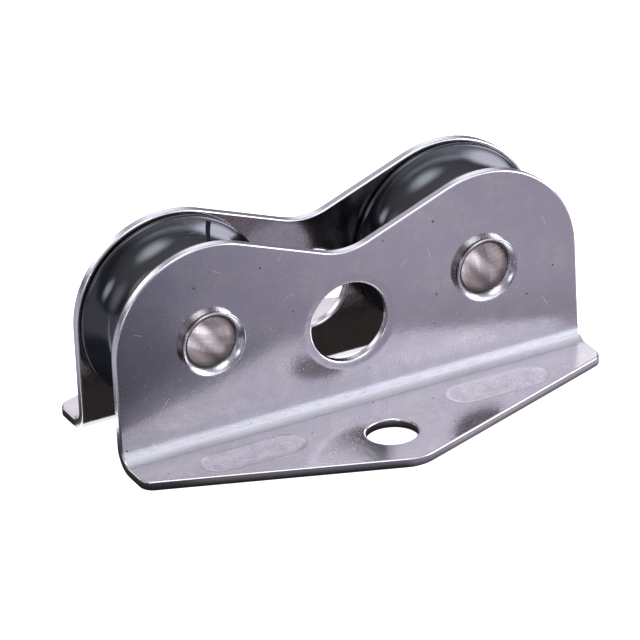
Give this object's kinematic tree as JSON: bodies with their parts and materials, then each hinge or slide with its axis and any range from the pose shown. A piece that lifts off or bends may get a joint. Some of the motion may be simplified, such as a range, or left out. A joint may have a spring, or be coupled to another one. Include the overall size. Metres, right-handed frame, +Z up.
{
  "type": "double through-deck block",
  "caption": "In-line through-deck block: grooved plastic sheaves turn on hollow rivets between bent stainless cheeks whose flanges bolt down beside a slot in the deck.",
  "frame": {"origin": "on the deck, in the middle of the block between the two cheeks", "axes": "+Z up from the deck, +X along the block from the left sheave to the right one, +Y across it from the near cheek to the far one"},
  "size_m": [0.064, 0.0484, 0.0274],
  "materials": {
    "stainless": "satin",
    "rivet": "satin",
    "bush": "satin",
    "sheave": "gloss"
  },
  "bodies": {
    "frame": {"cheek_front": "stainless", "cheek_back": "stainless", "axle_rivet_left": "rivet", "axle_rivet_right": "rivet", "spacer_bush_left": "bush", "spacer_bush_right": "bush"},
    "sheave_left": {"sheave_left": "sheave"},
    "sheave_right": {"sheave_right": "sheave"}
  },
  "joints": [
    {"name": "sheave_left_turn", "type": "hinge", "parent": "frame", "child": "sheave_left", "pos_m": [-0.019, 0, 0.0144], "axis": [0, 1, 0], "continuous": true},
    {"name": "sheave_right_turn", "type": "hinge", "parent": "frame", "child": "sheave_right", "pos_m": [0.019, 0, 0.0144], "axis": [0, 1, 0], "continuous": true}
  ]
}
